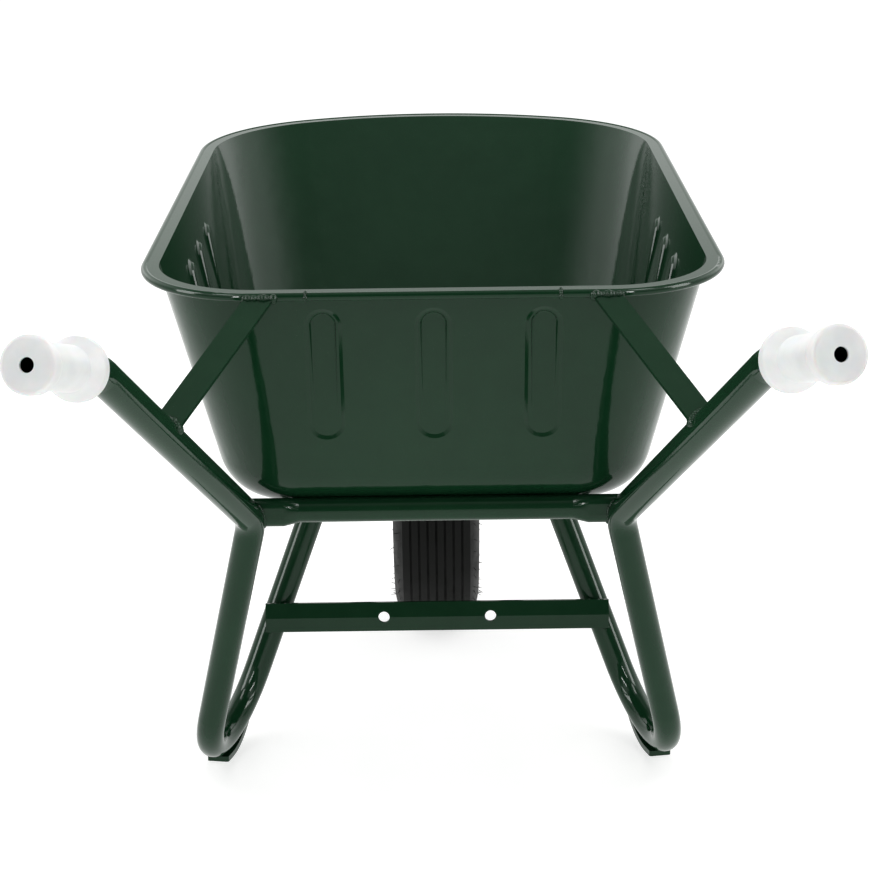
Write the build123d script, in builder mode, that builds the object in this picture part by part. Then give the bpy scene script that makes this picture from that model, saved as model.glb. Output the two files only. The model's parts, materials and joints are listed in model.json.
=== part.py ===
"""A builder's wheelbarrow: pressed steel tray, one bent tube each side, one wheel in front.

Sizes are in millimetres. X is to the right, Y is forward towards the wheel, Z is up.
Stations along Y are first counted from the feet, then moved so that the origin is on
the ground in the middle of the whole barrow.
"""
import math
import os

from build123d import *

os.makedirs("parts", exist_ok=True)

# Frame tube and its bends
tube_d = 30.0
tube_wall = 1.5
handle_bend_r = 60.0
leg_bend_r = 45.0
foot_bend_r = 83.0
rail_bend_r = 60.0

# Corners of the tube's centreline on the right side: half spread, station, height
grip_end_at = (305.0, -635.0, 545.0)
handle_bend_at = (274.0, -514.0, 522.0)
leg_bend_at = (186.0, -172.0, 319.0)
rail_bend_at = (126.0, 122.0, 311.0)
foot_half_spread = 247.0
foot_station = 15.0

# Wheel and axle
wheelbase = 585.0
tyre_d = 400.0
tyre_w = 116.0
axle_d = 12.0
fork_gap = 140.0

# Tray
rim_half_w = 290.0
rim_length = 858.0
rim_rear_station = -269.0
rim_rear_z = 556.0
rim_slope = 10.4
rim_rear_corner_r = 122.0
rim_front_corner_r = 195.0
rim_front_bow = 110.0
flange_w = 17.0
bead_d = 8.0
bead_rise = 0.8
tray_t = 1.0
floor_z = 330.0
floor_half_w = 212.0
floor_rear_station = -175.0
floor_length = 440.0
floor_rear_corner_r = 85.0
floor_front_corner_r = 120.0
floor_front_bow = 40.0
bottom_fillet_r = 60.0

# Pressed ribs in the tray walls
rib_w = 29.5
rib_length = 135.0
rib_depth = 4.6
rib_fade = 3.2
rib_pitch = 106.0
rib_top_gap = 24.0
rib_count = 3
rib_draft = 40.0
rib_bed_r = 2.0
rib_rim_w = 3.5
rib_rim_depth = 1.8
side_rib_run = 185.0
side_rib_pitch = 80.0
side_rib_top_gap = 44.0

# Cross-members, brace, struts and shoes
cross_d = 25.0
cross_wall = 1.5
cross_z = 327.0
cross_flat_h = 29.0
cross_flat_length = 38.0
cross_taper_length = 16.0
cross_overlap = 6.0
front_cross_station = 165.0
brace_length = 396.0
brace_h = 34.0
brace_t = 4.0
brace_crease = 3.0
brace_z = 145.0
brace_hole_d = 13.0
brace_hole_pitch = 123.0
strut_w = 25.0
strut_t = 4.0
strut_top_x = 162.0
strut_foot_x = 242.0
shoe_w = 25.0
shoe_t = 6.0
shoe_tail = 14.0
shoe_front_angle = 38.0
shoe_edge_r = 2.5
weld_bite = 0.3

# Grips
grip_length = 95.0
grip_body_d = 38.0
grip_end_d = 46.5
grip_guard_d = 53.0
grip_flange_t = 11.0
grip_hole_d = 12.0
grip_end_wall = 2.0
grip_edge_r = 3.5

# Axle brackets and fasteners
bracket_t = 5.0
bracket_w = 40.0
bracket_length = 85.0
bracket_bite = 0.6
rail_setback = 30.0
axle_clearance = 0.3
washer_d = 24.0
washer_t = 2.5
axle_nut_af = 19.0
axle_nut_h = 10.0
axle_overhang = 4.0
spacer_d = 20.0

# Hub, wheel discs and tyre
hub_d = 32.0
hub_wall = 2.0
hub_length = 84.0
bush_length = 22.0
bush_flange_d = 38.0
bush_flange_t = 3.0
bush_clearance = 0.05
side_clearance = 0.3
disc_t = 1.5
disc_hub_x = 30.0
disc_collar = 12.0
disc_flat_w = 21.0
disc_well_x = 16.0
rim_seat_d = 203.0
rim_inside_w = 64.0
rim_lip_h = 12.0
bolt_circle_d = 114.0
bolt_d = 8.0
bolt_clearance = 0.2
bolt_head_af = 13.0
bolt_head_h = 5.5
bolt_overhang = 3.0
bolt_nut_h = 6.5
bolt_count = 4
tyre_wall = 7.0
tread_t = 10.0
bead_toe_w = 12.0
tread_half_w = 45.0
tread_drop = 7.0
groove_w = 3.0
groove_depth = 4.0
groove_pitch = 11.4
groove_count = 7
inner_tube_wall = 2.5
air_gap = 0.3
valve_d = 8.0
valve_x = 13.0
valve_tip_r = 60.0
valve_cap_d = 10.0
valve_cap_length = 12.0
valve_cap_end = 2.0

tube_r = tube_d / 2
axle_z = tyre_d / 2

# The grip leans, so the round edge of its end is the rearmost point of the barrow
grip_axis = (Vector(*handle_bend_at) - Vector(*grip_end_at)).normalized()
edge_reach = (grip_end_d / 2 - grip_edge_r) * math.sqrt(1 - grip_axis.Y**2)
rear_reach = edge_reach + grip_edge_r * (1 - grip_axis.Y) - grip_end_at[1]
foot_y = (rear_reach - wheelbase - axle_z) / 2


def at(half_spread, station, height):
    """Point on the right side, from its station counted from the feet."""
    return Vector(half_spread, foot_y + station, height)


# Corners of the right tube
grip_end = at(*grip_end_at)
handle_bend = at(*handle_bend_at)
leg_bend = at(*leg_bend_at)
rail_bend = at(*rail_bend_at)
axle_centre = at(0, wheelbase, axle_z)
rail_x = fork_gap / 2 + bracket_t - bracket_bite + tube_r
rail_run = wheelbase - rail_bend_at[1]
rail_fall = math.atan2(rail_bend_at[2] - axle_z, rail_run)
rail_dir = Vector(0, math.cos(rail_fall), -math.sin(rail_fall))
axle_on_rail = axle_centre + Vector(rail_x, 0, 0)
rail_end = axle_on_rail - rail_dir * rail_setback
rail_kink = rail_end - rail_dir * bracket_length

# The foot corner is the point where both legs would meet without a bend. It is moved
# until the lowest point of the bend rests on the level shoe at its station.
foot_corner = at(foot_half_spread, foot_station, -foot_bend_r)
foot_low = at(foot_half_spread, foot_station, tube_r + shoe_t)
for step in range(30):
    rear_leg = (leg_bend - foot_corner).normalized()
    front_leg = (rail_bend - foot_corner).normalized()
    half_angle = math.radians(rear_leg.get_angle(front_leg)) / 2
    upward = (rear_leg + front_leg).normalized()
    foot_normal = front_leg.cross(rear_leg).normalized()
    steepest = (foot_normal * foot_normal.Z - Vector(0, 0, 1)).normalized()
    foot_centre = foot_corner + upward * (foot_bend_r / math.sin(half_angle))
    foot_corner = foot_corner + foot_low - (foot_centre + steepest * foot_bend_r)

tube_corners = [grip_end, handle_bend, leg_bend, foot_corner, rail_bend, rail_kink, rail_end]
tube_radii = [handle_bend_r, leg_bend_r, foot_bend_r, rail_bend_r, rail_bend_r]
tube_start = grip_end + grip_axis * grip_end_wall


def save(builder, name):
    """Label a finished piece and write it as one STEP file."""
    builder.part.label = name
    export_step(builder.part, f"parts/{name}.step")


def save_pair(builder, name):
    """Write a right-hand piece and its mirror image on the left."""
    save(builder, name + "_right")
    with BuildPart() as left:
        mirror(builder.part, about=Plane.YZ)
    save(left, name + "_left")


# Frame tube, swept along its bent centreline
with BuildPart() as tube_envelope:
    with BuildLine():
        centreline = FilletPolyline(tube_start, *tube_corners[1:], radius=tube_radii)
    with BuildSketch(Plane(origin=centreline @ 0, z_dir=centreline % 0)):
        Circle(tube_r)
    sweep()

with BuildPart() as tube_bore:
    with BuildLine():
        bore_line = FilletPolyline(tube_start, *tube_corners[1:], radius=tube_radii)
    with BuildSketch(Plane(origin=bore_line @ 0, z_dir=bore_line % 0)):
        Circle(tube_r - tube_wall)
    sweep()

with BuildPart() as frame_tube:
    add(tube_envelope.part)
    add(tube_bore.part, mode=Mode.SUBTRACT)
save_pair(frame_tube, "frame_tube")

# Both tubes as solid bars, for coping the ends of what is welded to them
with BuildPart() as both_tubes:
    add(tube_envelope.part)
    mirror(tube_envelope.part, about=Plane.YZ)

# Grip: a sleeve turned about the tube's end, with a flange at both ends
grip_plane = Plane(origin=grip_end, x_dir=grip_axis, z_dir=grip_axis.cross(Vector(0, 0, 1)))
grip_spin = Axis(grip_end, grip_axis)
with BuildPart() as grip:
    with BuildSketch(grip_plane):
        with BuildLine():
            Polyline(
                (grip_end_wall, tube_r),
                (grip_end_wall, grip_hole_d / 2),
                (0, grip_hole_d / 2),
                (0, grip_end_d / 2),
                (grip_flange_t, grip_end_d / 2),
                (2 * grip_flange_t, grip_body_d / 2),
                (grip_length - 2 * grip_flange_t, grip_body_d / 2),
                (grip_length - grip_flange_t, grip_guard_d / 2),
                (grip_length, grip_guard_d / 2),
                (grip_length, tube_r),
                close=True,
            )
        make_face()
    revolve(axis=grip_spin)
    rims = grip.edges().filter_by(GeomType.CIRCLE).sort_by(SortBy.RADIUS)
    outer_rims = [edge for edge in rims if edge.radius > grip_body_d / 2 + 0.5]
    fillet(outer_rims, radius=grip_edge_r)
save_pair(grip, "grip")

# Tray outlines: straight back, straight sides and a bowed front, with round corners
def tray_outline(plane, half_w, length, bow, rear_r, front_r, inset=0.0):
    """Filled outline on a plane, with the middle of its back edge at the plane's origin."""
    with BuildSketch(plane) as outline:
        with BuildLine():
            Polyline((-half_w, length - bow), (-half_w, 0), (half_w, 0), (half_w, length - bow))
            ThreePointArc((half_w, length - bow), (0, length), (-half_w, length - bow))
        make_face()
        corners = outline.vertices().sort_by(Axis.Y)
        fillet(corners[:2], radius=rear_r)
        corners = outline.vertices().sort_by(Axis.Y)
        fillet(corners[-2:], radius=front_r)
        if inset:
            offset(amount=-inset, mode=Mode.REPLACE)
    return outline.sketch


slope = math.radians(rim_slope)
rim_plane = Plane(
    origin=at(0, rim_rear_station, rim_rear_z),
    x_dir=(1, 0, 0),
    z_dir=(0, -math.sin(slope), math.cos(slope)),
)
floor_plane = Plane(origin=at(0, floor_rear_station, floor_z))
rim_shape = (rim_half_w, rim_length, rim_front_bow, rim_rear_corner_r, rim_front_corner_r)
floor_shape = (
    floor_half_w,
    floor_length,
    floor_front_bow,
    floor_rear_corner_r,
    floor_front_corner_r,
)
wall_half_w = rim_half_w - flange_w

# One pressed rib: a tapered slot sunk into a wall from outside, fading out downwards.
# Its bed is rounded, and a shallow dish round its rim eases it into the wall.
def rib_press(wall_foot, wall_top, along, top_gap, grow):
    """Slot tool for the wall line from foot to top, made larger all round by grow."""
    up = (wall_top - wall_foot).normalized()
    outward = along.cross(up)
    bed = (up - outward * (rib_fade / rib_length)).normalized()
    draft = math.radians(rib_draft)
    narrowing = 2 * rib_depth * math.tan(draft)
    growth = 2 * grow * (1 / math.cos(draft) - math.tan(draft))
    depth = rib_depth + grow
    rim_draft = math.atan2(rib_rim_w, rib_rim_depth)
    start = wall_top - up * top_gap
    bed_plane = Plane(origin=start - outward * depth, x_dir=along, z_dir=along.cross(bed))
    rim_dish = Plane(origin=start - outward * (rib_rim_depth + grow), x_dir=along, z_dir=outward)
    with BuildPart() as press:
        with BuildSketch(bed_plane):
            with Locations((0, -rib_length / 2)):
                SlotOverall(
                    rib_length - narrowing + growth,
                    rib_w - narrowing + growth,
                    rotation=90,
                )
        extrude(amount=depth + rib_depth, taper=-rib_draft)
        fillet(press.faces().sort_by(Axis(start, outward))[0].edges(), radius=rib_bed_r)
        with BuildSketch(rim_dish):
            with Locations((0, -rib_length / 2)):
                SlotOverall(rib_length, rib_w, rotation=90)
        extrude(amount=2 * rib_rim_depth, taper=-math.degrees(rim_draft))
    return press.part


def all_ribs(grow):
    """Tools for the ribs of the rear wall and of both side walls."""
    tools = []
    for place in range(rib_count):
        x = (place - (rib_count - 1) / 2) * rib_pitch
        foot = floor_plane.from_local_coords(Vector(x, 0, 0))
        top = rim_plane.from_local_coords(Vector(x, flange_w, 0))
        tools.append(rib_press(foot, top, Vector(1, 0, 0), rib_top_gap, grow))
    for place in range(rib_count):
        run = side_rib_run + place * side_rib_pitch
        foot = floor_plane.from_local_coords(Vector(floor_half_w, run, 0))
        rise = (foot.Y - rim_plane.origin.Y) / math.cos(slope)
        top = rim_plane.from_local_coords(Vector(wall_half_w, rise, 0))
        tool = rib_press(foot, top, Vector(0, 1, 0), side_rib_top_gap, grow)
        tools.append(tool)
        tools.append(mirror(tool, about=Plane.YZ))
    return tools


# Tray: outer and inner shells lofted from floor to rim, both with the ribs sunk in
with BuildPart() as tray_outside:
    loft(
        [
            tray_outline(floor_plane, *floor_shape),
            tray_outline(rim_plane, *rim_shape, inset=flange_w),
        ]
    )
    fillet(tray_outside.faces().sort_by(Axis.Z)[0].edges(), radius=bottom_fillet_r)

with BuildPart() as tray_inside:
    loft(
        [
            tray_outline(floor_plane.offset(tray_t), *floor_shape, inset=tray_t),
            tray_outline(rim_plane, *rim_shape, inset=flange_w + tray_t),
        ]
    )
    fillet(tray_inside.faces().sort_by(Axis.Z)[0].edges(), radius=bottom_fillet_r - tray_t)
    add(all_ribs(tray_t), mode=Mode.SUBTRACT)

# The rolled bead stands a little above the flange, whose edge ends inside the bead's wall
bead_r = bead_d / 2
bead_drop = bead_r - bead_rise
flange_reach = math.sqrt(bead_rise * (bead_d - tray_t - bead_rise))
bead_plane = rim_plane.offset(-bead_drop)
bead_path = tray_outline(bead_plane, *rim_shape, inset=bead_r).face().outer_wire()
bead_start = Plane(origin=bead_path @ 0, z_dir=bead_path % 0)

with BuildPart() as bead_envelope:
    with BuildSketch(bead_start):
        Circle(bead_r)
    sweep(path=bead_path)

with BuildPart() as bead_bore:
    with BuildSketch(bead_start):
        Circle(bead_r - tray_t)
    sweep(path=bead_path)

with BuildPart() as tray:
    add(tray_outside.part)
    add(all_ribs(0), mode=Mode.SUBTRACT)
    add(tray_inside.part, mode=Mode.SUBTRACT)
    with BuildSketch(rim_plane):
        add(tray_outline(Plane.XY, *rim_shape, inset=bead_r + flange_reach))
        add(tray_outline(Plane.XY, *rim_shape, inset=flange_w + tray_t), mode=Mode.SUBTRACT)
    extrude(amount=-tray_t)
    add(bead_envelope.part)
    add(bead_bore.part, mode=Mode.SUBTRACT)
save(tray, "tray")

# Rear cross-member: lies in the fillet at the tray's back, with its ends flattened
cross_r = cross_d / 2
rear_wall_top = rim_plane.from_local_coords(Vector(0, flange_w, 0))
wall_angle = math.atan2(rear_wall_top.Z - floor_z, floor_plane.origin.Y - rear_wall_top.Y)
fillet_run = bottom_fillet_r * math.tan(wall_angle / 2)
fillet_rise = floor_z + bottom_fillet_r - cross_z
cross_back = math.sqrt((bottom_fillet_r + cross_r - weld_bite) ** 2 - fillet_rise**2)
cross_y = floor_plane.origin.Y + fillet_run - cross_back
flat_depth = (math.pi * cross_d - 2 * cross_flat_h) / (math.pi - 2)
cross_end = leg_bend.X + cross_overlap
flat_start = cross_end - cross_flat_length
round_end = flat_start - cross_taper_length


def cross_bar(thinner):
    """Right half of the cross-member's outside, or of its bore when made thinner."""
    middle = Plane(origin=(0, cross_y, cross_z), x_dir=(0, 1, 0), z_dir=(1, 0, 0))
    with BuildPart() as bar:
        with BuildSketch(middle):
            Circle(cross_r - thinner)
        extrude(amount=round_end)
        with BuildSketch(middle.offset(round_end)) as taper_start:
            Circle(cross_r - thinner)
        with BuildSketch(middle.offset(flat_start)) as taper_end:
            with Locations((0, cross_r - cross_flat_h / 2)):
                SlotOverall(cross_flat_h - 2 * thinner, flat_depth - 2 * thinner, rotation=90)
        loft([taper_start.sketch, taper_end.sketch])
        extrude(taper_end.sketch, amount=cross_flat_length)
    return bar.part


with BuildPart() as rear_crossmember:
    add(cross_bar(0))
    add(cross_bar(cross_wall), mode=Mode.SUBTRACT)
    mirror(about=Plane.YZ)
    add(tray_outside.part, mode=Mode.SUBTRACT)
    add(both_tubes.part, mode=Mode.SUBTRACT)
save(rear_crossmember, "rear_crossmember")

# Front cross-member: straight tube under the tray floor, saddled on both rails
rail_share = (front_cross_station - rail_bend_at[1]) / (rail_kink.Y - rail_bend.Y)
front_cross_half = rail_bend.X + (rail_kink.X - rail_bend.X) * rail_share
front_cross_at = at(0, front_cross_station, floor_z - cross_r + weld_bite)
with BuildPart() as front_crossmember:
    with BuildSketch(Plane(origin=front_cross_at, x_dir=(0, 1, 0), z_dir=(1, 0, 0))):
        Circle(cross_r)
        Circle(cross_r - cross_wall, mode=Mode.SUBTRACT)
    extrude(amount=front_cross_half, both=True)
    add(tray_outside.part, mode=Mode.SUBTRACT)
    add(both_tubes.part, mode=Mode.SUBTRACT)
save(front_crossmember, "front_crossmember")

# Leg brace: creased flat bar behind the front legs, its lower edge let into them
brace_foot_z = brace_z - brace_h / 2
leg_y = foot_corner.Y + front_leg.Y * (brace_foot_z - foot_corner.Z) / front_leg.Z
brace_front_y = leg_y - tube_r * math.hypot(1, front_leg.Y / front_leg.Z) + weld_bite
brace_at = Plane(origin=(0, brace_front_y, brace_z), x_dir=(0, 1, 0), z_dir=(1, 0, 0))
with BuildPart() as leg_brace:
    with BuildSketch(brace_at):
        with BuildLine():
            Polyline(
                (0, brace_h / 2),
                (-brace_crease, 0),
                (0, -brace_h / 2),
                (-brace_t, -brace_h / 2),
                (-brace_crease - brace_t, 0),
                (-brace_t, brace_h / 2),
                close=True,
            )
        make_face()
    extrude(amount=brace_length / 2, both=True)
    add(both_tubes.part, mode=Mode.SUBTRACT)
    with BuildSketch(Plane(origin=(0, brace_front_y, brace_z), x_dir=(1, 0, 0), z_dir=(0, -1, 0))):
        with GridLocations(brace_hole_pitch, 0, 2, 1):
            Circle(brace_hole_d / 2)
    extrude(amount=brace_h, both=True, mode=Mode.SUBTRACT)
save(leg_brace, "leg_brace")

# Strut: flat bar from the rear bead down to the handle tube, coped at both ends
strut_top = rim_plane.from_local_coords(Vector(strut_top_x, bead_r, -bead_drop))
handle_share = (strut_foot_x - leg_bend.X) / (handle_bend.X - leg_bend.X)
strut_foot = leg_bend + (handle_bend - leg_bend) * handle_share
strut_line = strut_foot - strut_top
strut_drop = math.hypot(strut_line.Y, strut_line.Z)
strut_half = strut_w / 2 * strut_line.length / strut_drop
strut_face = Plane(origin=strut_top, x_dir=(1, 0, 0), z_dir=(0, strut_line.Z, -strut_line.Y))
with BuildPart() as strut:
    with BuildSketch(strut_face):
        with BuildLine():
            Polyline(
                (-strut_half, 0),
                (strut_half, 0),
                (strut_line.X + strut_half, -strut_drop),
                (strut_line.X - strut_half, -strut_drop),
                close=True,
            )
        make_face()
    extrude(amount=strut_t / 2, both=True)
    add(bead_envelope.part, mode=Mode.SUBTRACT)
    add(both_tubes.part, mode=Mode.SUBTRACT)
save_pair(strut, "strut")

# Foot shoe: level strip under the foot bend, bent up in front of it. The leaning bend
# looks wider from the side than it is, so the strip has that wider radius.
foot_lean = math.sqrt(1 - foot_normal.Z**2)
shoe_in = foot_bend_r / foot_lean + tube_r
shoe_out = shoe_in + shoe_t
shoe_across = Vector(foot_normal.X, foot_normal.Y, 0).normalized()
shoe_centre = foot_low + Vector(0, 0, shoe_in - tube_r)
with BuildPart() as foot_shoe:
    with BuildSketch(Plane(origin=shoe_centre, x_dir=(0, 0, -1), z_dir=shoe_across)):
        with BuildLine():
            inner_arc = CenterArc((0, 0), shoe_in, 0, shoe_front_angle)
            outer_arc = CenterArc((0, 0), shoe_out, 0, shoe_front_angle)
            Line(inner_arc @ 1, outer_arc @ 1)
            Polyline(
                inner_arc @ 0,
                (shoe_in, -shoe_tail),
                (shoe_out, -shoe_tail),
                outer_arc @ 0,
            )
        make_face()
    extrude(amount=shoe_w / 2, both=True)
    tail_end = foot_shoe.faces().sort_by(Axis.Y)[0]
    fillet(tail_end.edges().filter_by(Axis.Z), radius=shoe_edge_r)
save_pair(foot_shoe, "foot_shoe")

# Axle bracket: plate on the inner side of the rail's end, with the axle's hole
bracket_face = Plane(
    origin=axle_centre + Vector(fork_gap / 2, 0, 0), x_dir=rail_dir, z_dir=(1, 0, 0)
)
with BuildPart() as axle_bracket:
    with BuildSketch(bracket_face):
        with Locations((-bracket_length / 2, 0)):
            SlotCenterToCenter(bracket_length, bracket_w)
        Circle(axle_d / 2 + axle_clearance, mode=Mode.SUBTRACT)
    extrude(amount=bracket_t)
    add(both_tubes.part, mode=Mode.SUBTRACT)
save_pair(axle_bracket, "axle_bracket")

# Axle with its washers, nuts and spacers
axle_plane = Plane(origin=axle_centre, x_dir=(0, 1, 0), z_dir=(1, 0, 0))
axle_r = axle_d / 2
washer_x = fork_gap / 2 + bracket_t
nut_x = washer_x + washer_t
axle_half = nut_x + axle_nut_h + axle_overhang
with BuildPart() as axle:
    with BuildSketch(axle_plane):
        Circle(axle_r)
    extrude(amount=axle_half, both=True)
save(axle, "axle")

with BuildPart() as axle_washers:
    with BuildSketch(axle_plane.offset(washer_x)):
        Circle(washer_d / 2)
        Circle(axle_r, mode=Mode.SUBTRACT)
    extrude(amount=washer_t)
    mirror(about=Plane.YZ)
save(axle_washers, "axle_washers")

with BuildPart() as axle_nuts:
    with BuildSketch(axle_plane.offset(nut_x)):
        RegularPolygon(axle_nut_af / 2, 6, major_radius=False)
        Circle(axle_r, mode=Mode.SUBTRACT)
    extrude(amount=axle_nut_h)
    mirror(about=Plane.YZ)
save(axle_nuts, "axle_nuts")

spacer_x = hub_length / 2 + bush_flange_t + side_clearance
with BuildPart() as axle_spacers:
    with BuildSketch(axle_plane.offset(spacer_x)):
        Circle(spacer_d / 2)
        Circle(axle_r, mode=Mode.SUBTRACT)
    extrude(amount=fork_gap / 2 - spacer_x)
    mirror(about=Plane.YZ)
save(axle_spacers, "axle_spacers")

# Hub tube and the bushes pressed into its ends
hub_r = hub_d / 2
hub_bore_r = hub_r - hub_wall
with BuildPart() as hub_tube:
    with BuildSketch(axle_plane):
        Circle(hub_r)
        Circle(hub_bore_r, mode=Mode.SUBTRACT)
    extrude(amount=hub_length / 2, both=True)
save(hub_tube, "hub_tube")

with BuildPart() as hub_bush:
    with BuildSketch(axle_plane.offset(hub_length / 2 - bush_length)):
        Circle(hub_bore_r)
    extrude(amount=bush_length)
    with BuildSketch(axle_plane.offset(hub_length / 2)):
        Circle(bush_flange_d / 2)
    extrude(amount=bush_flange_t)
    with BuildSketch(axle_plane):
        Circle(axle_r + bush_clearance)
    extrude(amount=hub_length, mode=Mode.SUBTRACT)
save_pair(hub_bush, "hub_bush")

# Wheel disc: half of a pressed rim, bolted back to back with the other half
wheel_plane = Plane(origin=axle_centre, x_dir=(1, 0, 0), z_dir=(0, -1, 0))
wheel_axis = Axis(axle_centre, (1, 0, 0))
bolt_r = bolt_circle_d / 2
seat_r = rim_seat_d / 2
lip_r = seat_r + rim_lip_h
rim_half = rim_inside_w / 2
with BuildPart() as wheel_disc:
    with BuildSketch(wheel_plane):
        with BuildLine():
            Polyline(
                (disc_hub_x, hub_r),
                (disc_hub_x, hub_r + disc_collar),
                (0, bolt_r - disc_flat_w / 2),
                (0, bolt_r + disc_flat_w / 2),
                (disc_well_x, seat_r),
                (rim_half, seat_r),
                (rim_half, lip_r),
            )
            offset(amount=disc_t, kind=Kind.INTERSECTION, side=Side.RIGHT)
        make_face()
    revolve(axis=wheel_axis)
    with BuildSketch(axle_plane):
        with PolarLocations(bolt_r, bolt_count, start_angle=180 / bolt_count):
            Circle(bolt_d / 2 + bolt_clearance)
    extrude(amount=2 * disc_t, both=True, mode=Mode.SUBTRACT)

with BuildPart() as wheel_disc_left:
    mirror(wheel_disc.part, about=Plane.YZ)
save(wheel_disc_left, "wheel_disc_left")

valve_tip = Plane(origin=axle_centre + Vector(valve_x, 0, valve_tip_r))
with BuildPart() as wheel_disc_right:
    add(wheel_disc.part)
    with BuildSketch(valve_tip):
        Circle(valve_d / 2 + axle_clearance)
    extrude(amount=seat_r - valve_tip_r, mode=Mode.SUBTRACT)
save(wheel_disc_right, "wheel_disc_right")

with BuildPart() as rim_bolts:
    with BuildSketch(axle_plane.offset(disc_t)):
        with PolarLocations(bolt_r, bolt_count, start_angle=180 / bolt_count):
            RegularPolygon(bolt_head_af / 2, 6, major_radius=False)
    extrude(amount=bolt_head_h)
    with BuildSketch(axle_plane.offset(disc_t)):
        with PolarLocations(bolt_r, bolt_count, start_angle=180 / bolt_count):
            Circle(bolt_d / 2)
    extrude(amount=-(2 * disc_t + bolt_nut_h + bolt_overhang))
save(rim_bolts, "rim_bolts")

with BuildPart() as rim_nuts:
    with BuildSketch(axle_plane.offset(-disc_t)):
        with PolarLocations(bolt_r, bolt_count, start_angle=180 / bolt_count):
            RegularPolygon(bolt_head_af / 2, 6, major_radius=False)
        with PolarLocations(bolt_r, bolt_count, start_angle=180 / bolt_count):
            Circle(bolt_d / 2, mode=Mode.SUBTRACT)
    extrude(amount=-bolt_nut_h)
save(rim_nuts, "rim_nuts")

# Tyre: hollow casing with a ribbed crown, its beads on the rim's seats
tyre_r = tyre_d / 2
section_r = (seat_r + tyre_r) / 2
widest = (tyre_w / 2, section_r)
inner_widest = (tyre_w / 2 - tyre_wall, section_r)
shoulder = (tread_half_w, tyre_r - tread_drop)
inner_shoulder = (tread_half_w - tyre_wall, tyre_r - tread_drop - tread_t)
toe_x = rim_half - bead_toe_w
with BuildPart() as tyre:
    with BuildSketch(wheel_plane):
        with BuildLine():
            Line((0, tyre_r - tread_t), (0, tyre_r))
            TangentArc((0, tyre_r), shoulder, tangent=(1, 0))
            TangentArc(widest, shoulder, tangent=(0, 1))
            TangentArc(widest, (rim_half, lip_r), tangent=(0, -1))
            Polyline((rim_half, lip_r), (rim_half, seat_r), (toe_x, seat_r), (toe_x, lip_r))
            TangentArc(inner_widest, (toe_x, lip_r), tangent=(0, -1))
            TangentArc(inner_widest, inner_shoulder, tangent=(0, 1))
            TangentArc((0, tyre_r - tread_t), inner_shoulder, tangent=(1, 0))
        make_face()
        mirror(about=Plane.YZ)
        crown_r = (tread_half_w**2 + tread_drop**2) / (2 * tread_drop)
        for place in range(groove_count):
            x = (place - (groove_count - 1) / 2) * groove_pitch
            surface_r = tyre_r - crown_r + math.sqrt(crown_r**2 - x**2)
            with Locations((x, surface_r)):
                Rectangle(groove_w, 2 * groove_depth, mode=Mode.SUBTRACT)
    revolve(axis=wheel_axis)
save(tyre, "tyre")

# Inner tube with its valve, which comes out through the right disc
air_half_w = tyre_w / 2 - tyre_wall - air_gap
air_top_r = tyre_r - tread_t - air_gap
air_half_h = (air_top_r - lip_r) / 2
air_centre_r = air_top_r - air_half_h
with BuildPart() as inner_tube_envelope:
    with BuildSketch(wheel_plane):
        with Locations((0, air_centre_r)):
            Ellipse(air_half_w, air_half_h)
    revolve(axis=wheel_axis)

with BuildPart() as inner_tube:
    with BuildSketch(wheel_plane):
        with Locations((0, air_centre_r)):
            Ellipse(air_half_w, air_half_h)
            Ellipse(
                air_half_w - inner_tube_wall, air_half_h - inner_tube_wall, mode=Mode.SUBTRACT
            )
    revolve(axis=wheel_axis)
save(inner_tube, "inner_tube")

with BuildPart() as valve_stem:
    with BuildSketch(valve_tip):
        Circle(valve_d / 2)
    extrude(amount=air_centre_r - valve_tip_r)
    add(inner_tube_envelope.part, mode=Mode.SUBTRACT)
save(valve_stem, "valve_stem")

with BuildPart() as valve_cap:
    with BuildSketch(valve_tip.offset(-valve_cap_end)):
        Circle(valve_cap_d / 2)
    extrude(amount=valve_cap_length)
    with BuildSketch(valve_tip):
        Circle(valve_d / 2)
    extrude(amount=valve_cap_length, mode=Mode.SUBTRACT)
save(valve_cap, "valve_cap")
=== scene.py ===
# %% [markdown]
# # A builder's wheelbarrow
# The solids come from CAD and stay where they are. This lesson gives them their looks:
# gloss paint, white grips and ribbed rubber, with the weld beads, moulding hairs and screw
# threads that are too small for the CAD model. Everything is in metres, Z is up, and the
# barrow points along +Y.

import json
import math
import random

import bmesh
import bpy
from mathutils import Matrix, Vector
from mathutils.bvhtree import BVHTree


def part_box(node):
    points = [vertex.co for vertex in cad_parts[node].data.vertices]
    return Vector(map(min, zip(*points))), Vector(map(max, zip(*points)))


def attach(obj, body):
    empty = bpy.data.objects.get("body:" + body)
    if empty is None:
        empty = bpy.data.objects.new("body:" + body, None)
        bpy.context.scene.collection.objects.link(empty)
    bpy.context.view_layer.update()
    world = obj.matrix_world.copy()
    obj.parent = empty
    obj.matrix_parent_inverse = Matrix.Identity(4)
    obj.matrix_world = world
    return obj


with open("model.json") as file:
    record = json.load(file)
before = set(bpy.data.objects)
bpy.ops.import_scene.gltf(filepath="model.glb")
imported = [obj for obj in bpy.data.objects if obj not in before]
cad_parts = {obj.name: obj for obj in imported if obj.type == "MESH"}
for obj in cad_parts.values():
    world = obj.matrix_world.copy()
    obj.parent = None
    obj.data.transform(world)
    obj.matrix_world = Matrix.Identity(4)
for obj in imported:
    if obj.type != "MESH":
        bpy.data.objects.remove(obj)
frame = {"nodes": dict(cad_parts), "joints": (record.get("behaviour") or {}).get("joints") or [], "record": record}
nodes = frame["nodes"]
axle = Vector(frame["joints"][0]["pos_m"])
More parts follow.
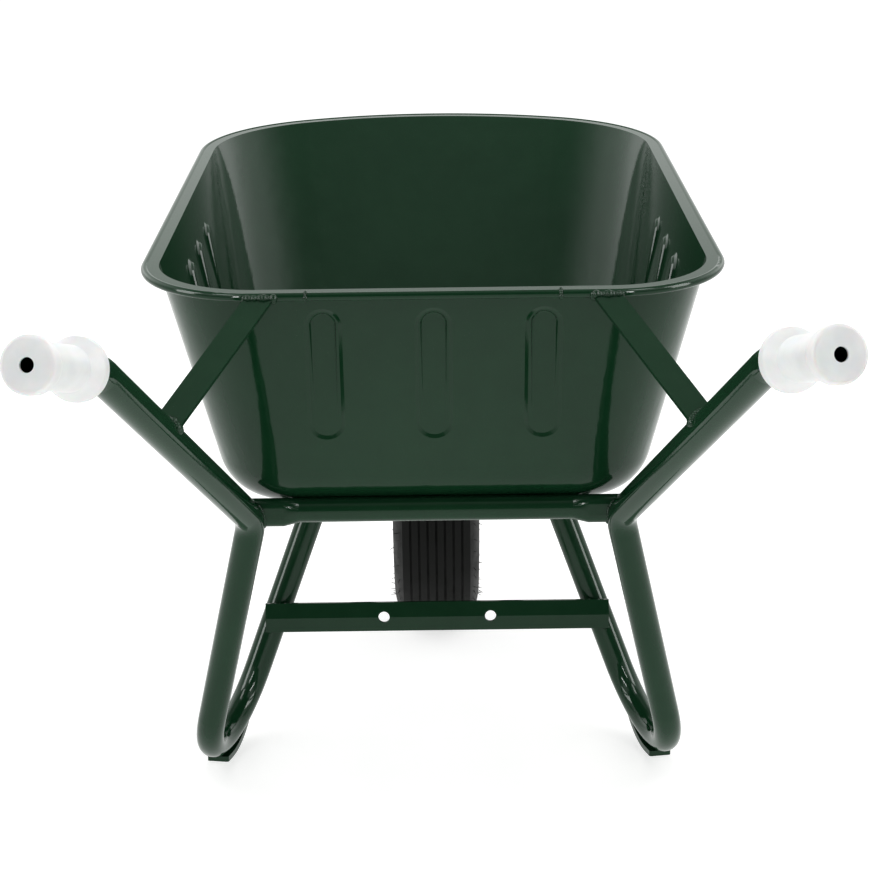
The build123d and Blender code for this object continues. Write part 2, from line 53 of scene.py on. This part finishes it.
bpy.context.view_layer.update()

# %% [markdown]
# ## Sums with sockets
# A finish is a small formula: colour plus a little noise, roughness times a mask. Wiring
# each Math node by hand hides that formula. So one class wraps a socket and takes part in
# Python sums, and one maker adds any other node from its settings and its inputs.

# %% A socket that adds and multiplies


class Wire:
    """An output socket of a node tree, usable in Python expressions."""

    def __init__(self, maker, socket):
        self.maker = maker
        self.socket = socket

    def math(self, operation, first, second=0.0):
        return self.maker.node("ShaderNodeMath", {"operation": operation}, {0: first, 1: second})

    def __add__(self, other):
        return self.math("ADD", self, other)

    __radd__ = __add__

    def __sub__(self, other):
        return self.math("SUBTRACT", self, other)

    def __rsub__(self, other):
        return self.math("SUBTRACT", other, self)

    def __mul__(self, other):
        return self.math("MULTIPLY", self, other)

    __rmul__ = __mul__

    def __pow__(self, other):
        return self.math("POWER", self, other)

    def __abs__(self):
        return self.math("ABSOLUTE", self)

    def smooth(self, low, high):
        """0 below low, 1 above high, with a soft step between."""
        return self.maker.node(
            "ShaderNodeMapRange",
            {"interpolation_type": "SMOOTHSTEP"},
            {"Value": self, "From Min": low, "From Max": high},
        )

    def axis(self, letter):
        """One number, X, Y or Z, of a vector."""
        return self.maker.node("ShaderNodeSeparateXYZ", None, {"Vector": self}, out=letter)


class Maker:
    """Adds nodes to one tree."""

    def __init__(self, tree):
        self.tree = tree

    def node(self, kind, settings=None, values=None, out=0):
        made = self.tree.nodes.new(kind)
        for key, value in (settings or {}).items():
            setattr(made, key, value)
        for key, value in (values or {}).items():
            if isinstance(value, Wire):
                self.tree.links.new(value.socket, made.inputs[key])
            else:
                made.inputs[key].default_value = value
        return Wire(self, made.outputs[out])


print("sums with sockets are ready")

# %% [markdown]
# ## A finish
# Each material starts from one Principled shader and Object coordinates. A CAD node's
# object sits at the origin, so those coordinates are the barrow's own metres, and a noise
# of scale 1000 has grains of about a millimetre.

# %% The finish maker


class Finish(Maker):
    """A material with one Principled shader."""

    def __init__(self, name, **constants):
        self.material = bpy.data.materials.new(name)
        self.material.use_nodes = True
        super().__init__(self.material.node_tree)
        self.tree.nodes.clear()
        self.shader = self.tree.nodes.new("ShaderNodeBsdfPrincipled")
        output = self.tree.nodes.new("ShaderNodeOutputMaterial")
        self.tree.links.new(self.shader.outputs[0], output.inputs[0])
        for key, value in constants.items():
            self.shader.inputs[key.replace("_", " ")].default_value = value
        self.place = self.node("ShaderNodeTexCoord", out="Object")

    def noise(self, scale, detail=2.0, roughness=0.5, place=None):
        return self.node(
            "ShaderNodeTexNoise",
            None,
            {
                "Vector": place or self.place,
                "Scale": scale,
                "Detail": detail,
                "Roughness": roughness,
            },
        )

    def stretched(self, scale):
        """Object coordinates stretched by three factors, for grain that runs one way."""
        return self.node("ShaderNodeMapping", None, {"Vector": self.place, "Scale": scale})

    def blend(self, mask, low, high):
        """One colour where the mask is 0, another where it is 1."""
        return self.node(
            "ShaderNodeMix", {"data_type": "RGBA"}, {0: mask, 6: (*low, 1.0), 7: (*high, 1.0)}, out=2
        )

    def bump(self, height, distance, strength, under=None):
        values = {"Height": height, "Distance": distance, "Strength": strength}
        if under:
            values["Normal"] = under
        return self.node("ShaderNodeBump", None, values)

    def feed(self, **wires):
        for key, wire in wires.items():
            self.tree.links.new(wire.socket, self.shader.inputs[key.replace("_", " ")])
        return self.material


print("the finish maker is ready")

# %% [markdown]
# ## Dark green gloss paint
# Powder paint flows out as it cures, so it is smooth and bright but for a faint orange
# peel. Broad noise shifts the green a little, because the coat isn't equally thick
# everywhere. Small nibs of dust in the coat and a film of handling dust vary the gloss.

# %% Gloss paint


def gloss_paint(name, deep, pale, gloss):
    finish = Finish(name, Specular_IOR_Level=0.37)
    broad = finish.noise(scale=5.0, detail=3.0)
    cloud = finish.noise(scale=34.0, detail=4.0, roughness=0.6)
    peel = finish.noise(scale=420.0, detail=1.0)
    nib = finish.noise(scale=1300.0, detail=0.0).smooth(0.78, 0.86)
    colour = finish.blend((broad * 0.6 + cloud * 0.4).smooth(0.3, 0.7), deep, pale)
    rough = gloss + cloud.smooth(0.35, 0.8) * 0.05 + nib * 0.2
    normal = finish.bump(peel, distance=0.00012, strength=0.35)
    normal = finish.bump(nib, distance=0.00004, strength=0.4, under=normal)
    return finish.feed(Base_Color=colour, Roughness=rough, Normal=normal)


green_paint = gloss_paint("green_paint", (0.0052, 0.0348, 0.0138), (0.0077, 0.0422, 0.0174), 0.08)
weld_paint = gloss_paint("weld_paint", (0.0055, 0.0300, 0.0125), (0.0100, 0.0430, 0.0190), 0.14)
print("paint:", green_paint.name, weld_paint.name)

# %% [markdown]
# ## White grips
# The grips are moulded, slightly milky plastic, so a little light goes in and comes out
# again. Fine grain breaks up the gloss, and soft clouds keep the white from being flat.

# %% Grip plastic


def grip_plastic():
    finish = Finish(
        "grip_plastic", Subsurface_Weight=0.25, Subsurface_Scale=0.006, Specular_IOR_Level=0.4
    )
    cloud = finish.noise(scale=45.0, detail=3.0)
    grain = finish.noise(scale=1500.0, detail=1.0)
    colour = finish.blend(cloud.smooth(0.3, 0.75), (0.70, 0.711, 0.709), (0.755, 0.761, 0.759))
    rough = 0.34 + cloud * 0.14
    normal = finish.bump(grain, distance=0.00008, strength=0.4)
    return finish.feed(Base_Color=colour, Roughness=rough, Normal=normal)


white_plastic = grip_plastic()
print("plastic:", white_plastic.name)

# %% [markdown]
# ## Rubber
# A new tyre is near black with a dull sheen and a little grey dust. The mould leaves fine
# rings on the sidewalls. Their height depends only on the distance from the axle, so it is
# a sum over sockets, and they turn with the wheel. The tube and the caps have no rings.

# %% Tyre rubber


def rubber(name, dark, dusty, rough_low, rough_high, rings=()):
    finish = Finish(name, Specular_IOR_Level=0.22)
    cloud = finish.noise(scale=26.0, detail=5.0, roughness=0.62)
    grit = finish.noise(scale=700.0, detail=2.0)
    dust = (cloud * 0.7 + grit * 0.3).smooth(0.42, 0.72)
    colour = finish.blend(dust, dark, dusty)
    rough = rough_low + dust * (rough_high - rough_low)
    normal = finish.bump(grit, distance=0.00025, strength=0.5)
    if rings:
        along = finish.place.axis("Y") - axle.y
        up = finish.place.axis("Z") - axle.z
        radius = (along**2 + up**2) ** 0.5
        ridge = 0
        for ring_r, ring_w in rings:
            ridge = ridge + (1 - abs(radius - ring_r).smooth(ring_w * 0.4, ring_w))
        normal = finish.bump(ridge, distance=0.0012, strength=0.8, under=normal)
    return finish.feed(Base_Color=colour, Roughness=rough, Normal=normal)


# Each ring's radius from the axle and half its width
sidewall_rings = (
    (0.120, 0.0016),
    (0.128, 0.0010),
    (0.158, 0.0022),
    (0.164, 0.0010),
    (0.170, 0.0010),
)
tyre_rubber = rubber(
    "tyre_rubber", (0.0030, 0.0036, 0.0030), (0.0080, 0.0090, 0.0075), 0.5, 0.8, sidewall_rings
)
tube_rubber = rubber("tube_rubber", (0.012, 0.012, 0.012), (0.024, 0.024, 0.023), 0.4, 0.6)
black_plastic = rubber("black_plastic", (0.015, 0.015, 0.015), (0.026, 0.026, 0.026), 0.35, 0.5)
print("rubber:", tyre_rubber.name, tube_rubber.name, black_plastic.name)

# %% [markdown]
# ## Zinc and brass
# Bolts, nuts and the axle are zinc plated: bright, slightly blue and cloudy. Fine turning
# marks run round the axle, so the grain is stretched across X, the axle's direction.

# %% Bare metal


def bare_metal(name, low, high, rough_low):
    finish = Finish(name, Metallic=1.0)
    cloud = finish.noise(scale=60.0, detail=4.0, roughness=0.6)
    turned = finish.noise(scale=40.0, detail=2.0, place=finish.stretched((60.0, 4.0, 4.0)))
    colour = finish.blend(cloud.smooth(0.3, 0.7), low, high)
    rough = rough_low + cloud * 0.12 + turned * 0.1
    normal = finish.bump(turned, distance=0.00006, strength=0.5)
    return finish.feed(Base_Color=colour, Roughness=rough, Normal=normal)


zinc = bare_metal("zinc", (0.50, 0.51, 0.52), (0.66, 0.66, 0.64), 0.26)
brass = bare_metal("brass", (0.56, 0.40, 0.15), (0.72, 0.55, 0.24), 0.24)
print("metal:", zinc.name, brass.name)

# %% [markdown]
# ## Dress the CAD nodes
# The shapes of the solids are right, so they stay and only take their materials. The
# record's slots say which piece has which finish.

# %% Materials on the nodes
finish_of_slot = {
    "green_paint": green_paint,
    "wheel_steel": green_paint,
    "zinc": zinc,
    "grip_plastic": white_plastic,
    "bush_plastic": black_plastic,
    "tyre_rubber": tyre_rubber,
    "tube_rubber": tube_rubber,
    "valve_brass": brass,
    "cap_plastic": black_plastic,
}
slot_of_node = {}
for row in frame["record"]["subparts"]:
    slot_of_node[row["node"]] = row["material_slot"]
for name, node in nodes.items():
    node.data.materials.clear()
    node.data.materials.append(finish_of_slot[slot_of_node[name]])
print("dressed nodes:", len(slot_of_node))

# %% [markdown]
# ## Where the welds run
# A weld follows the edge of the patch where one piece touches another. The coped end of a
# strut lies on its tube, so the faces of the strut whose corners are all on the tube form
# that patch, and the edges round it give the weld's path. It could be drawn by hand, but
# then it would miss the surfaces by a little.

# %% Find the edges of the contact patches
touch_reach = 0.0004
merge_reach = 0.00002


def merged_copy(name):
    mesh = bmesh.new()
    mesh.from_mesh(nodes[name].data)
    bmesh.ops.remove_doubles(mesh, verts=mesh.verts, dist=merge_reach)
    return mesh


def contact_edges(name, other):
    """Pairs of points along the border of the patch where a node touches another."""
    piece = merged_copy(name)
    neighbour = merged_copy(other)
    surface = BVHTree.FromBMesh(neighbour)
    near = {}
    for vert in piece.verts:
        near[vert.index] = surface.find_nearest(vert.co, touch_reach)[0] is not None
    touching = set()
    for face in piece.faces:
        if all(near[vert.index] for vert in face.verts):
            touching.add(face.index)
    pairs = []
    for edge in piece.edges:
        inside = [face for face in edge.link_faces if face.index in touching]
        if len(inside) == 1 and len(edge.link_faces) == 2:
            pairs.append((edge.verts[0].co.copy(), edge.verts[1].co.copy()))
    piece.free()
    neighbour.free()
    return pairs


frame_seams = []
strut_seams = []
for side in ("left", "right"):
    tube = "frame_tube_" + side
    for name, other, seams in (
        ("strut_" + side, tube, strut_seams),
        ("strut_" + side, "tray", strut_seams),
        ("rear_crossmember", tube, frame_seams),
        ("front_crossmember", tube, frame_seams),
        ("leg_brace", tube, frame_seams),
        ("axle_bracket_" + side, tube, frame_seams),
    ):
        found = contact_edges(name, other)
        seams.extend(found)
        print("weld edges", name, "on", other, len(found))

# %% [markdown]
# ## Trees that grow small pieces
# Welds, hairs and threads repeat one small shape, so Geometry Nodes make them. The three
# trees begin and end alike: named sizes come in, and instances become plain faces with a
# material at the end. A piece is grown on a helper mesh, kept as a plain mesh of its own,
# and set on the body that carries it.

# %% How each tree begins and ends


def begin_tree(name, sizes):
    """A new tree, and wires for its geometry and for each of its named sizes."""
    tree = bpy.data.node_groups.new(name, "GeometryNodeTree")
    tree.interface.new_socket("Geometry", in_out="INPUT", socket_type="NodeSocketGeometry")
    tree.interface.new_socket("Geometry", in_out="OUTPUT", socket_type="NodeSocketGeometry")
    for size in sizes:
        tree.interface.new_socket(size, in_out="INPUT", socket_type="NodeSocketFloat")
    maker = Maker(tree)
    inputs = tree.nodes.new("NodeGroupInput")
    wires = [Wire(maker, inputs.outputs[place]) for place in range(len(sizes) + 1)]
    return maker, wires


def end_tree(maker, instances, material, rounded=False):
    """Instances become faces, smooth if they are rounded, and take the material."""
    solid = maker.node("GeometryNodeRealizeInstances", None, {"Geometry": instances})
    if rounded:
        solid = maker.node("GeometryNodeSetShadeSmooth", None, {"Geometry": solid})
    done = maker.node(
        "GeometryNodeSetMaterial", None, {"Geometry": solid, "Material": material}
    )
    output = maker.tree.nodes.new("NodeGroupOutput")
    maker.tree.links.new(done.socket, output.inputs[0])
    return maker.tree


def faced_along(maker):
    """The turn that points Z along the attribute aim."""
    facing = maker.node(
        "GeometryNodeInputNamedAttribute", {"data_type": "FLOAT_VECTOR"}, {"Name": "aim"}
    )
    return maker.node("FunctionNodeAlignRotationToVector", {"axis": "Z"}, {"Vector": facing})


# %% How a piece is grown


def grown(name, source, tree, sizes, body):
    """Run a tree on a mesh and keep the result as a plain piece."""
    seed_object = bpy.data.objects.new(name + "_seed", source)
    bpy.context.scene.collection.objects.link(seed_object)
    modifier = seed_object.modifiers.new("grow", "NODES")
    modifier.node_group = tree
    for item in tree.interface.items_tree:
        if item.in_out == "INPUT" and item.name in sizes:
            modifier[item.identifier] = sizes[item.name]
    graph = bpy.context.evaluated_depsgraph_get()
    mesh = bpy.data.meshes.new_from_object(seed_object.evaluated_get(graph))
    bpy.data.objects.remove(seed_object)
    piece = bpy.data.objects.new(name, mesh)
    bpy.context.scene.collection.objects.link(piece)
    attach(piece, body)
    print(name, "faces:", len(mesh.polygons))
    return piece


def aimed_points(name, points, aims):
    """A mesh of loose points that each keep a direction in the attribute aim."""
    mesh = bpy.data.meshes.new(name)
    mesh.from_pydata(points, [], [])
    values = mesh.attributes.new("aim", "FLOAT_VECTOR", "POINT")
    values.data.foreach_set("vector", [number for aim in aims for number in aim])
    return mesh


# %% [markdown]
# ## Weld beads
# A weld is a row of overlapping drops. The border edges become curves, the curves are
# divided at the pitch of the drops, and each point gets a small ball with a size of its
# own. The seed of those sizes is fixed.

# %% The tree that lays drops along edges


def weld_tree(material):
    maker, wires = begin_tree("weld_drops", ("Bead Radius", "Drop Pitch", "Unevenness"))
    edges, radius, pitch, uneven = wires
    curve = maker.node("GeometryNodeMeshToCurve", None, {"Mesh": edges})
    line = maker.node(
        "GeometryNodeResampleCurve", {"mode": "LENGTH"}, {"Curve": curve, "Length": pitch}
    )
    drop = maker.node(
        "GeometryNodeMeshIcoSphere", None, {"Radius": radius, "Subdivisions": 2}
    )
    size = maker.node(
        "FunctionNodeRandomValue",
        {"data_type": "FLOAT"},
        {2: 1 - uneven, 3: 1 + uneven, "Seed": 7},
        out=1,
    )
    drops = maker.node(
        "GeometryNodeInstanceOnPoints", None, {"Points": line, "Instance": drop, "Scale": size}
    )
    return end_tree(maker, drops, material, rounded=True)


# %% Lay the welds
drop_tree = weld_tree(weld_paint)
path_merge_reach = 0.00005
fine_bead_r = 0.0017
broad_bead_r = 0.0034


def path_mesh(name, pairs):
    """A mesh of joined edges from loose pairs of points."""
    mesh = bpy.data.meshes.new(name)
    points = [point for pair in pairs for point in pair]
    edges = [(2 * place, 2 * place + 1) for place in range(len(pairs))]
    mesh.from_pydata(points, edges, [])
    joined = bmesh.new()
    joined.from_mesh(mesh)
    bmesh.ops.remove_doubles(joined, verts=joined.verts, dist=path_merge_reach)
    joined.to_mesh(mesh)
    joined.free()
    return mesh


def weld(name, pairs, radius):
    path = path_mesh(name + "_path", pairs)
    sizes = {"Bead Radius": radius, "Drop Pitch": radius * 0.9, "Unevenness": 0.28}
    return grown(name, path, drop_tree, sizes, "frame")


weld("frame_welds", frame_seams, fine_bead_r)
weld("strut_welds", strut_seams, broad_bead_r)

# %% [markdown]
# ## Tacks on the rolled rim
# The wire inside the rolled rim is held by two small tacks at the back. Each is half a
# ring of drops round the bead. The bead's middle is found from the tray itself: its rear
# edge gives Y, and a ray from above gives Z.

# %% Two tacks
bead_r = 0.004
tack_offset = 0.120
tack_steps = 12
tack_start = math.pi * 0.55
tray_surface = BVHTree.FromObject(nodes["tray"], bpy.context.evaluated_depsgraph_get())
bead_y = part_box("tray")[0][1] + bead_r
tack_pairs = []
for tack_x in (-tack_offset, tack_offset):
    top = tray_surface.ray_cast(Vector((tack_x, bead_y, 2.0)), Vector((0, 0, -1)))[0]
    middle = top - Vector((0, 0, bead_r))
    ring = []
    for place in range(tack_steps + 1):
        angle = math.pi * place / tack_steps + tack_start
        ring.append(middle + bead_r * Vector((0, math.cos(angle), math.sin(angle))))
    tack_pairs.extend(zip(ring, ring[1:]))
weld("rim_tacks", tack_pairs, fine_bead_r)

# %% [markdown]
# ## Moulding hairs on the tyre
# Air leaves a tyre mould through pinholes, and rubber follows it, so a new tyre has thin
# hairs along both shoulders. A tree sets a thin cone on each point and leans it at random.
# A ray cast onto the tyre finds each point, and the attribute aim keeps the way it faces.

# %% The tree that sets hairs on points


def hair_tree(material):
    maker, wires = begin_tree("moulding_hairs", ("Hair Length", "Hair Radius", "Lean"))
    points, length, radius, lean = wires
    hair = maker.node(
        "GeometryNodeMeshCone",
        None,
        {"Vertices": 5, "Radius Top": radius * 0.4, "Radius Bottom": radius, "Depth": length},
    )
    spread = maker.node(
        "FunctionNodeRandomValue",
        {"data_type": "FLOAT_VECTOR"},
        {0: (-1.0, -1.0, 0.0), 1: (1.0, 1.0, 0.0), "Seed": 11},
    )
    tilt = maker.node("ShaderNodeVectorMath", {"operation": "SCALE"}, {0: spread, "Scale": lean})
    turn = maker.node(
        "FunctionNodeRotateRotation",
        {"rotation_space": "LOCAL"},
        {0: faced_along(maker), 1: tilt},
    )
    size = maker.node(
        "FunctionNodeRandomValue", {"data_type": "FLOAT"}, {2: 0.5, 3: 1.2, "Seed": 5}, out=1
    )
    hairs = maker.node(
        "GeometryNodeInstanceOnPoints",
        None,
        {"Points": points, "Instance": hair, "Rotation": turn, "Scale": size},
    )
    return end_tree(maker, hairs, material)


# %% Hairs in rings on both shoulders
hairs_per_ring = 60
hair_scatter = 0.8
hair_root = 0.0003
ray_length = 0.03
# Each ring's distance from the middle, its radius, and how far its hairs face sideways
hair_rings = ((0.050, 0.184, 0.72), (0.058, 0.160, 0.98))
tyre_surface = BVHTree.FromObject(nodes["tyre"], bpy.context.evaluated_depsgraph_get())
draw = random.Random(3)
hair_points = []
hair_aims = []
for side in (-1, 1):
    for ring_x, ring_r, sideways in hair_rings:
        for place in range(hairs_per_ring):
            angle = (place + draw.random() * hair_scatter) * math.tau / hairs_per_ring
            outward = Vector((0, math.cos(angle), math.sin(angle)))
            aim = Vector((side * sideways, 0, 0)) + outward * math.sqrt(1 - sideways**2)
            shoulder = axle + outward * ring_r + Vector((side * ring_x, 0, 0))
            spot = tyre_surface.ray_cast(shoulder + aim * ray_length, -aim)[0]
            hair_points.append(spot - aim * hair_root)
            hair_aims.append(aim)
hair_spots = aimed_points("hair_spots", hair_points, hair_aims)
hair_sizes = {"Hair Length": 0.007, "Hair Radius": 0.00045, "Lean": 0.55}
grown("tyre_hairs", hair_spots, hair_tree(tyre_rubber), hair_sizes, "wheel")

# %% [markdown]
# ## Threads on the axle's ends
# The axle's ends stand out of their nuts, and there the thread shows. A spiral with a small
# three-sided profile is a screw thread's ridge. It could be a texture, but a ridge also
# shows on the outline. One end is made, and the other is the same turned half round.

# %% The tree that winds a thread


def thread_tree(material):
    maker, wires = begin_tree("axle_thread", ("Thread Radius", "Ridge", "Pitch", "Turns"))
    spots, radius, ridge, pitch, turns = wires
    spiral = maker.node(
        "GeometryNodeCurveSpiral",
        None,
        {
            "Resolution": 20,
            "Rotations": turns,
            "Start Radius": radius,
            "End Radius": radius,
            "Height": pitch * turns,
        },
    )
    profile = maker.node(
        "GeometryNodeCurvePrimitiveCircle", None, {"Resolution": 3, "Radius": ridge}
    )
    wound = maker.node(
        "GeometryNodeCurveToMesh",
        None,
        {"Curve": spiral, "Profile Curve": profile, "Fill Caps": True},
    )
    ends = maker.node(
        "GeometryNodeInstanceOnPoints",
        None,
        {"Points": spots, "Instance": wound, "Rotation": faced_along(maker)},
    )
    return end_tree(maker, ends, material)


# %% Threads at both ends
thread_turns = 2.5
thread_margin = 0.08
thread_ridge = 0.0005
axle_low, axle_high = [Vector(corner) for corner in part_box("axle")]
nut_high = Vector(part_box("axle_nuts")[1])
bare_end = axle_high.x - nut_high.x
thread_starts = []
thread_aims = []
for side in (-1, 1):
    start_x = side * (nut_high.x + bare_end * thread_margin)
    thread_starts.append(Vector((start_x, axle.y, axle.z)))
    thread_aims.append(Vector((side, 0, 0)))
thread_spots = aimed_points("thread_spots", thread_starts, thread_aims)
thread_sizes = {
    "Thread Radius": (axle_high.z - axle_low.z) / 2,
    "Ridge": thread_ridge,
    "Pitch": bare_end * (1 - 2 * thread_margin) / thread_turns,
    "Turns": thread_turns,
}
grown("axle_threads", thread_spots, thread_tree(zinc), thread_sizes, "frame")

# %% [markdown]
# ## Floor
# The barrow stands in a white studio on a pale, matt floor. Gloss paint shows whatever it
# faces, so the floor it mirrors grows darker towards the front, where a studio's light
# ends. The picture itself shows a clean white floor from every side.

# %% Floor
floor_reach = 14.0
floor_dark_y = -2.6
floor_light_y = -0.42
floor_mesh = bpy.data.meshes.new("floor")
floor_mesh.from_pydata(
    [
        (-floor_reach, -floor_reach, 0),
        (floor_reach, -floor_reach, 0),
        (floor_reach, floor_reach, 0),
        (-floor_reach, floor_reach, 0),
    ],
    [],
    [(0, 1, 2, 3)],
)
floor = bpy.data.objects.new("floor", floor_mesh)
bpy.context.scene.collection.objects.link(floor)
floor_finish = Finish(
    "floor_white", Roughness=0.9, Specular_IOR_Level=0.1, Emission_Strength=0.70
)
floor_tint = floor_finish.blend(
    floor_finish.noise(scale=2.0), (0.46, 0.46, 0.455), (0.48, 0.48, 0.475)
)
floor_seen = floor_finish.node("ShaderNodeLightPath", out="Is Camera Ray")
floor_near = floor_finish.place.axis("Y").smooth(floor_dark_y, floor_light_y)
floor_glow = floor_finish.blend(
    floor_near + (1 - floor_near) * floor_seen, (0.40, 0.40, 0.40), (1.0, 1.0, 1.0)
)
floor_mesh.materials.append(floor_finish.feed(Base_Color=floor_tint, Emission_Color=floor_glow))
print("floor is down")

# %% [markdown]
# ## Sky
# The sky that the paint mirrors is white towards the back, dark behind the camera and a
# little lighter right overhead, with a glow at both sides. That dark part is why the tops
# of the brace and the cross-member look deep green while the tray's wall, which leans down
# to the white floor, looks paler. The picture shows plain white instead.

# %% White studio sky
plain_sky = 0.40
seen_sky = 1.1
world = bpy.data.worlds.new("studio")
bpy.context.scene.world = world
world.use_nodes = True
world.node_tree.nodes.clear()
sky = Maker(world.node_tree)
direction = sky.node("ShaderNodeTexCoord", out="Generated")
across = abs(direction.axis("X"))
depth = direction.axis("Y")
height = direction.axis("Z")
wall = depth.smooth(-0.6, 0.4) * (1 - height.smooth(0.3, 0.85))
side_band = across.smooth(0.2, 0.6) * (1 - across.smooth(0.7, 1.0))
side_glow = side_band * height.smooth(0.1, 0.4) * (1 - height.smooth(0.65, 0.9))
behind = (1 - depth.smooth(-0.9, -0.3)) * (1 - height.smooth(0.6, 0.95))
zenith = height.smooth(0.85, 1.0)
mirrored = plain_sky - behind * 0.32 + zenith * 0.22 + wall * 0.70 + side_glow * 1.2
seen = sky.node("ShaderNodeLightPath", out="Is Camera Ray")
strength = mirrored * (1 - seen) + seen * seen_sky
backdrop = sky.node(
    "ShaderNodeBackground", None, {"Color": (1.0, 1.0, 1.0, 1.0), "Strength": strength}
)
sky_out = world.node_tree.nodes.new("ShaderNodeOutputWorld")
world.node_tree.links.new(backdrop.socket, sky_out.inputs[0])
print("sky is up")

# %% [markdown]
# ## Lamps
# Two broad lamps, one overhead and one low in front, add light without showing in the
# gloss. Three pairs do the reverse: tall boxes at the sides, boxes above and narrow strips
# in front draw the streaks on the tubes and the tray's corners, and light nothing else.

# %% Lamps


def lamp(name, place, target, size, watts, in_gloss):
    data = bpy.data.lights.new(name, "AREA")
    data.shape = "RECTANGLE"
    data.size, data.size_y = size
    data.energy = watts
    holder = bpy.data.objects.new(name, data)
    holder.location = place
    line = Vector(target) - Vector(place)
    holder.rotation_euler = line.to_track_quat("-Z", "Y").to_euler()
    holder.visible_glossy = in_gloss
    holder.visible_diffuse = not in_gloss
    bpy.context.scene.collection.objects.link(holder)


lamp("overhead", (0, 0.2, 3.2), (0, 0.1, 0.3), (2.6, 2.0), 50, in_gloss=False)
lamp("front_fill", (0, -2.9, 0.35), (0, -0.3, 0.45), (2.4, 0.5), 15, in_gloss=False)
for name, side in (("left", -1), ("right", 1)):
    box_place = (side * 2.4, -1.0, 1.35)
    top_place = (side * 1.15, -1.25, 2.8)
    strip_place = (side * 0.8, -1.9, 1.0)
    lamp(name + "_box", box_place, (0, 0, 0.4), (0.9, 2.2), 46, in_gloss=True)
    lamp(name + "_top", top_place, (side * 0.1, 0, 0.2), (0.7, 1.0), 14, in_gloss=True)
    lamp(name + "_strip", strip_place, (0, 0, 0.3), (0.16, 0.8), 9, in_gloss=True)
print("lamps are up")

# %% [markdown]
# ## Camera
# The camera stands behind the barrow, a little above the rim, and looks slightly down. A
# display gamma below 1 deepens the dark greens, as a product picture's contrast does.

# %% Camera
camera_place = Vector((0.0, -2.116, 0.745))
tilt_down = math.radians(10.5)
roll = math.radians(-0.75)
camera_data = bpy.data.cameras.new("camera")
camera_data.sensor_width = 36.0
camera_data.lens = 77.73
camera_data.shift_x = 0.0057
camera = bpy.data.objects.new("camera", camera_data)
camera_turn = Matrix.Rotation(math.pi / 2 - tilt_down, 4, "X") @ Matrix.Rotation(roll, 4, "Z")
camera.matrix_world = Matrix.Translation(camera_place) @ camera_turn
bpy.context.scene.collection.objects.link(camera)
bpy.context.scene.camera = camera
bpy.context.scene.view_settings.view_transform = "Standard"
bpy.context.scene.view_settings.gamma = 0.86
print("camera at", tuple(camera_place))
